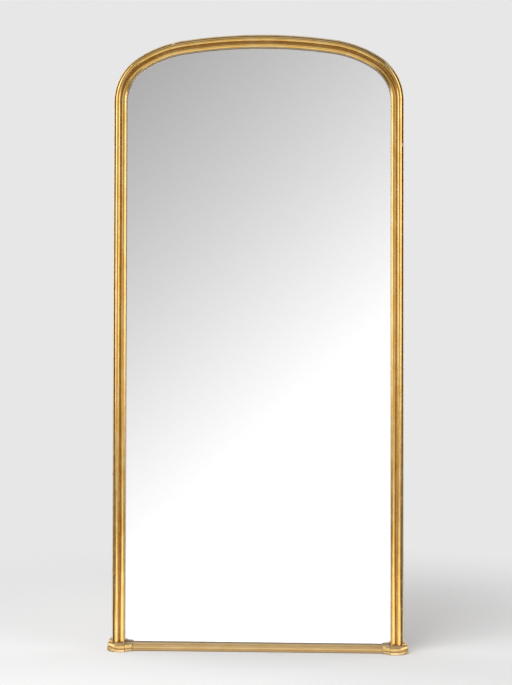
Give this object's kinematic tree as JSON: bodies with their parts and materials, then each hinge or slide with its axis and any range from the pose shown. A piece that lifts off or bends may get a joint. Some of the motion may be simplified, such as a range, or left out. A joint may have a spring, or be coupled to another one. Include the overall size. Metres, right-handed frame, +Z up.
{
  "type": "pier mirror",
  "caption": "Tall arched pier mirror: reeded giltwood moulding on a softwood carcass, moulded plinth blocks, silvered plate and panelled back.",
  "frame": {"origin": "on the floor plane, under the middle of the whole mirror's width and depth", "axes": "+Z up; +Y towards the wall behind, so the mirror faces -Y; +X to the right as one faces the mirror"},
  "size_m": [1.064, 0.072, 2.18],
  "materials": {
    "gilding": "water gilding over bole and gesso on pine, burnished, worn on the arrises",
    "carcass_deal": "planed deal, darkened with age",
    "back_deal": "sawn and planed pine, unfinished, dusty",
    "plate_glass": "polished plate",
    "silvering": "silver coat on the back of the plate, painted behind",
    "plate_iron": "blackened wrought iron with a little rust",
    "screw_steel": "dull slotted steel"
  },
  "bodies": {
    "root": {"back_bottom_rail": "back_deal", "back_cross_rail_1": "back_deal", "back_cross_rail_2": "back_deal", "back_muntin_1": "back_deal", "back_muntin_2": "back_deal", "back_muntin_3": "back_deal", "back_panel_left_1": "back_deal", "back_panel_left_2": "back_deal", "back_panel_left_3": "back_deal", "back_panel_right_1": "back_deal", "back_panel_right_2": "back_deal", "back_panel_right_3": "back_deal", "back_screw_left_1": "screw_steel", "back_screw_left_2": "screw_steel", "back_screw_left_3": "screw_steel", "back_screw_left_4": "screw_steel", "back_screw_right_1": "screw_steel", "back_screw_right_2": "screw_steel", "back_screw_right_3": "screw_steel", "back_screw_right_4": "screw_steel", "back_stile_left": "back_deal", "back_stile_right": "back_deal", "back_top_rail": "back_deal", "base_rail_moulding": "gilding", "carcass_bottom_rail": "carcass_deal", "carcass_crown": "carcass_deal", "carcass_shoulder_left": "carcass_deal", "carcass_shoulder_right": "carcass_deal", "carcass_stile_left": "carcass_deal", "carcass_stile_right": "carcass_deal", "glass_plate": "plate_glass", "glue_block_left_1": "carcass_deal", "glue_block_left_2": "carcass_deal", "glue_block_left_3": "carcass_deal", "glue_block_right_1": "carcass_deal", "glue_block_right_2": "carcass_deal", "glue_block_right_3": "carcass_deal", "hanging_plate_left": "plate_iron", "hanging_plate_right": "plate_iron", "moulding_crown": "gilding", "moulding_haunch_left": "gilding", "moulding_haunch_right": "gilding", "moulding_shoulder_left": "gilding", "moulding_shoulder_right": "gilding", "moulding_stile_left": "gilding", "moulding_stile_right": "gilding", "plate_screw_left_lower": "screw_steel", "plate_screw_left_upper": "screw_steel", "plate_screw_right_lower": "screw_steel", "plate_screw_right_upper": "screw_steel", "plinth_block_left": "gilding", "plinth_block_right": "gilding", "plinth_cap_left": "gilding", "plinth_cap_right": "gilding", "plinth_return_left": "gilding", "plinth_return_right": "gilding", "setting_slip_left": "carcass_deal", "setting_slip_right": "carcass_deal", "silvering": "silvering"}
  },
  "joints": []
}
